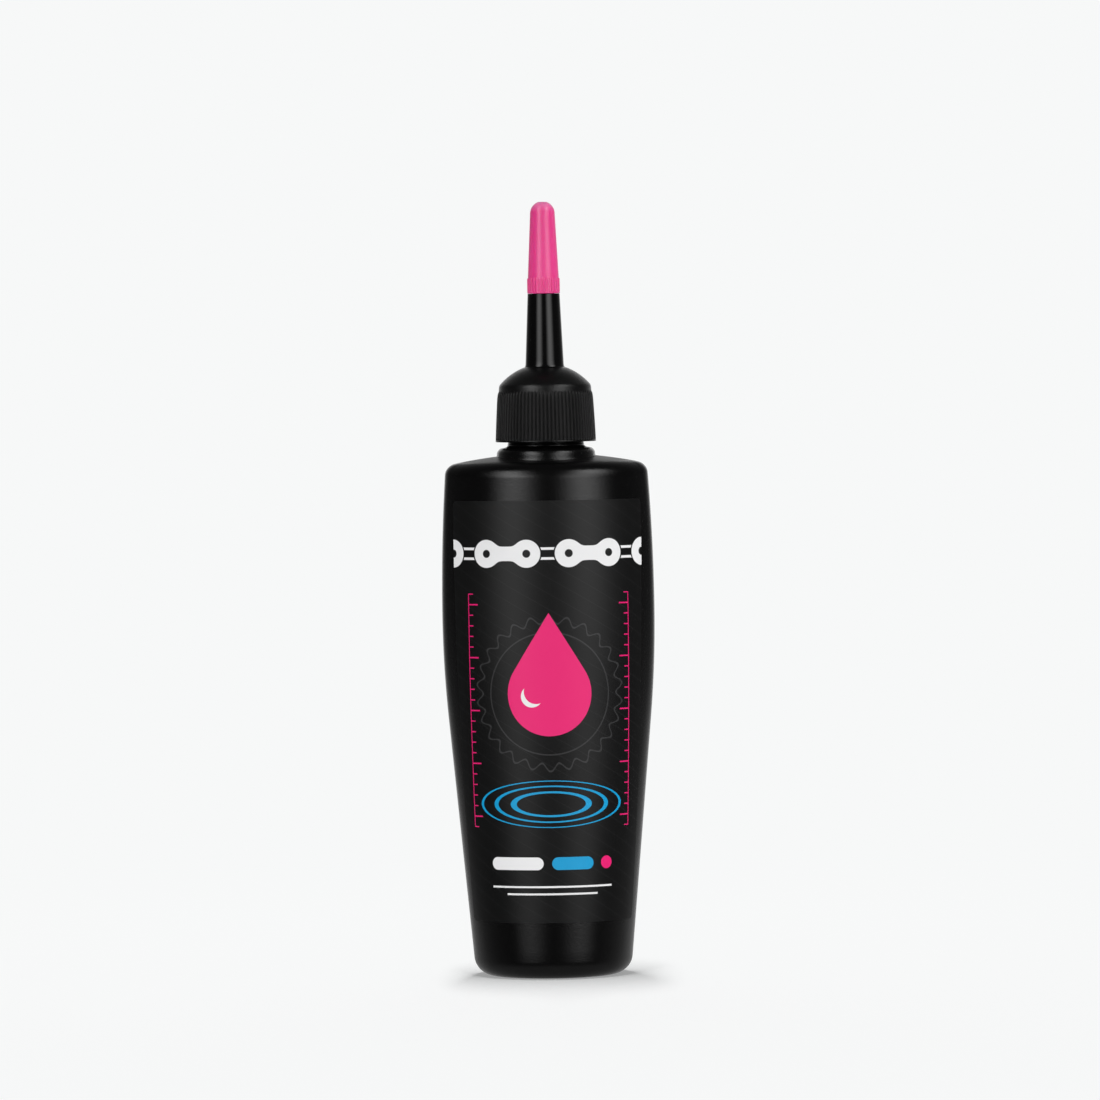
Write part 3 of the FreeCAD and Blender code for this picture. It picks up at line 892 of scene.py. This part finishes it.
# Lights: a tall softbox each side of the camera, brighter in its middle and towards its top, lights the
# bottle alone, as do a fill over the camera and one to each side, which don't show in the gloss. A long
# light overhead lays the bottle's soft shadow on the floor.
SOFTBOX_DISTANCE = 0.9
SOFTBOX_FOOT_Z = -0.2
SOFTBOX_HEIGHT = 1.8
bottle_only = bpy.data.collections.new("lit_by_front_lights")
for piece in (bottle, label, washer, cap, tip):
    bottle_only.objects.link(piece)
floor_only = bpy.data.collections.new("lit_from_overhead")
floor_only.objects.link(floor)


def lamp(name, kind, receivers, **settings):
    light = bpy.data.lights.new(name, kind)
    for key, value in settings.items():
        setattr(light, key, value)
    stand = bpy.data.objects.new(name, light)
    bpy.context.scene.collection.objects.link(stand)
    stand.light_linking.receiver_collection = receivers
    return stand


LEFT_CLIMB = ((0.0, 0.012), (0.083, 0.08), (0.194, 0.43), (0.34, 0.9), (0.5, 0.75), (0.8, 0.7))
RIGHT_CLIMB = ((0.0, 0.014), (0.083, 0.11), (0.194, 0.73), (0.45, 0.73), (0.56, 1.0))
for name, azimuth, lean, width, radiance, climb in (
        ("softbox_left", -38.0, -14.0, 0.82, 3.9, LEFT_CLIMB),
        ("softbox_right", 45.5, 20.0, 0.95, 3.1, RIGHT_CLIMB)):
    softbox = lamp(name, "AREA", bottle_only, shape="RECTANGLE", size=width, size_y=SOFTBOX_HEIGHT,
                   energy=radiance * math.pi * width * SOFTBOX_HEIGHT)
    turn = math.radians(azimuth)
    softbox.location = (SOFTBOX_DISTANCE * math.sin(turn), -SOFTBOX_DISTANCE * math.cos(turn),
                        SOFTBOX_FOOT_Z + SOFTBOX_HEIGHT / 2)
    softbox.rotation_euler = (math.radians(90.0), math.radians(lean), turn)
    softbox.data.use_nodes = True
    softbox.data.node_tree.nodes.clear()
    cloth = Socket(softbox.data.node_tree)
    side, height, _ = axes(cloth.node("ShaderNodeNewGeometry", out="Parametric"))
    off_middle = side * 2 - 1
    middle = (1 - off_middle * off_middle) ** 2
    greys = [(at, (level,) * 3) for at, level in climb]
    shade = middle.colour((0.0, 0.0, 0.0), cloth.node("ShaderNodeValToRGB", {"stops": greys}, {0: height}))
    surface = cloth.node("ShaderNodeEmission", {}, {"Color": shade, "Strength": 1.0})
    cloth.node("ShaderNodeOutputLight", {}, {"Surface": surface})

fill = lamp("front_fill", "AREA", bottle_only, shape="DISK", size=1.4, energy=9.5)
fill.location = (0.0, -1.6, 0.6)
fill.rotation_euler = (math.radians(72.0), 0.0, 0.0)
fill.visible_glossy = False
for name, side, energy in (("side_fill_left", -1, 6.0), ("side_fill_right", 1, 12.0)):
    fill = lamp(name, "AREA", bottle_only, shape="DISK", size=0.8, energy=energy)
    fill.location = (side * 1.3, 0.35, 0.3)
    fill.rotation_euler = (math.radians(90.0), 0.0, math.radians(side * 105.0))
    fill.visible_glossy = False

overhead = lamp("overhead", "AREA", floor_only, shape="ELLIPSE", size=0.55, size_y=4.6, energy=289.0)
overhead.location = (-0.1, 0.5, 6.0)

# Camera: a long lens at the height of the spout, looking slightly down and rolled by less than a degree, as
# in the photograph.
CAMERA_DISTANCE = 1.9
CAMERA_HEIGHT = 0.161
AIM = (0.0006, 0.0, 0.1007)
FRAME_WIDTH = 0.2610
SENSOR_WIDTH = 36.0
ROLL = math.radians(0.87)
camera = bpy.data.objects.new("camera", bpy.data.cameras.new("camera"))
bpy.context.scene.collection.objects.link(camera)
camera.location = (AIM[0], -CAMERA_DISTANCE, CAMERA_HEIGHT)
camera.rotation_mode = "QUATERNION"
look = (Vector(AIM) - camera.location).to_track_quat("-Z", "Y")
camera.rotation_quaternion = look @ Quaternion((0.0, 0.0, 1.0), -ROLL)
camera.data.sensor_width = SENSOR_WIDTH
camera.data.lens = SENSOR_WIDTH * math.hypot(CAMERA_DISTANCE, CAMERA_HEIGHT - AIM[2]) / FRAME_WIDTH
camera.data.clip_end = 100.0
bpy.context.scene.camera = camera
bpy.context.scene.view_settings.view_transform = "Standard"
